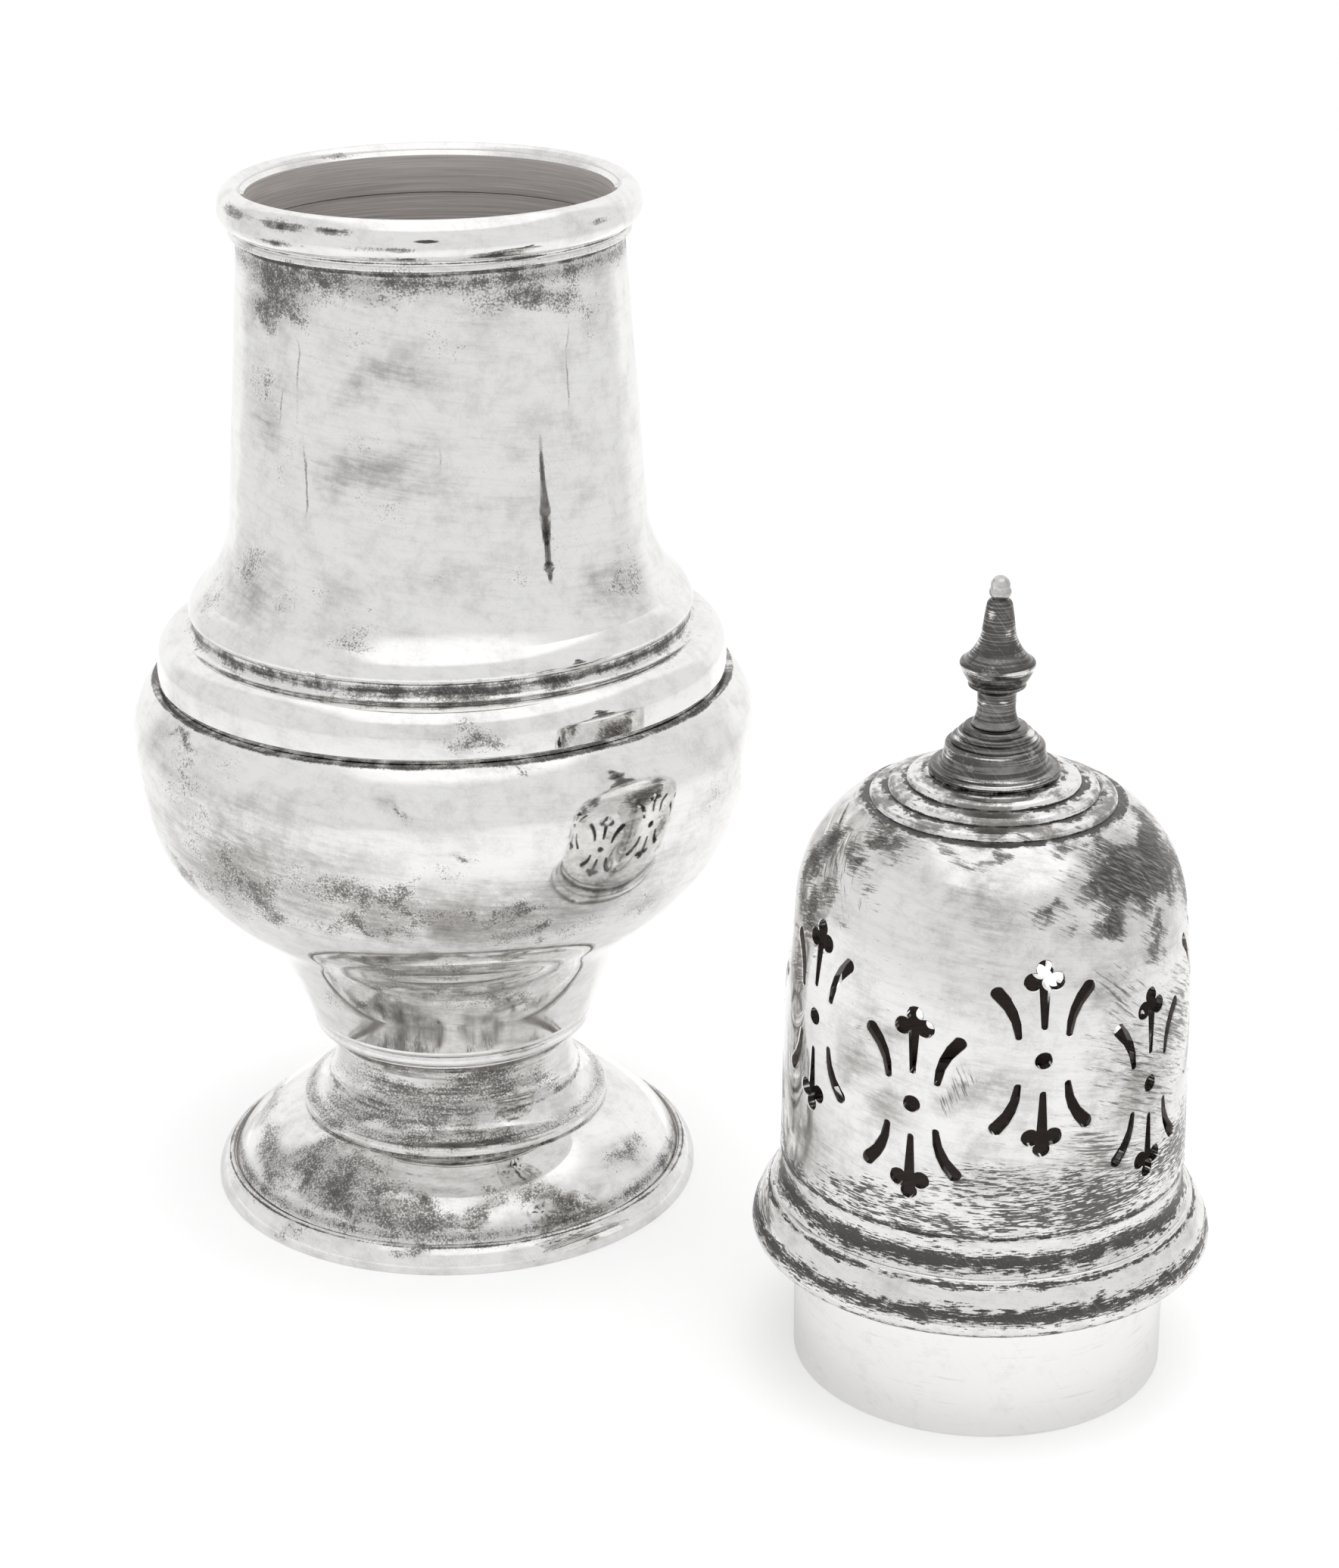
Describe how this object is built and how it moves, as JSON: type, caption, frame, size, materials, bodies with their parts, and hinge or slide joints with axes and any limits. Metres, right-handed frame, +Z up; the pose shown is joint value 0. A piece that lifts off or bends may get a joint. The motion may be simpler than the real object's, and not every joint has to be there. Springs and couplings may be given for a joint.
{
  "type": "muffineer",
  "caption": "Silver sugar caster: baluster body on a domed foot, with its pierced dome cover and baluster finial taken off and stood beside it on the bezel.",
  "frame": {"origin": "on the caster's axis, in the plane of the flat ring that it stands on", "axes": "+Z up along the caster's axis, out of its mouth; +Y away from the viewer; the cover stands on the same plane towards +X and -Y, its axis parallel to Z"},
  "size_m": [0.1272, 0.1099, 0.127],
  "materials": {
    "body_silver": "polished",
    "cover_silver": "gloss",
    "finial_silver": "gloss",
    "bezel_silver": "polished"
  },
  "bodies": {
    "vessel": {"foot_wire": "body_silver", "foot": "body_silver", "stem": "body_silver", "stem_collar": "body_silver", "bowl": "body_silver", "belt_moulding": "body_silver", "neck": "body_silver", "mouth_rim": "body_silver"},
    "cover": {"bezel": "bezel_silver", "cover_flange": "cover_silver", "pierced_dome": "cover_silver", "finial_base": "finial_silver", "finial": "finial_silver"}
  },
  "joints": [
    {"name": "cover_lift", "type": "slide", "parent": "vessel", "child": "cover", "axis": [0, 0, 1], "range_m": [0, 0.14]}
  ]
}
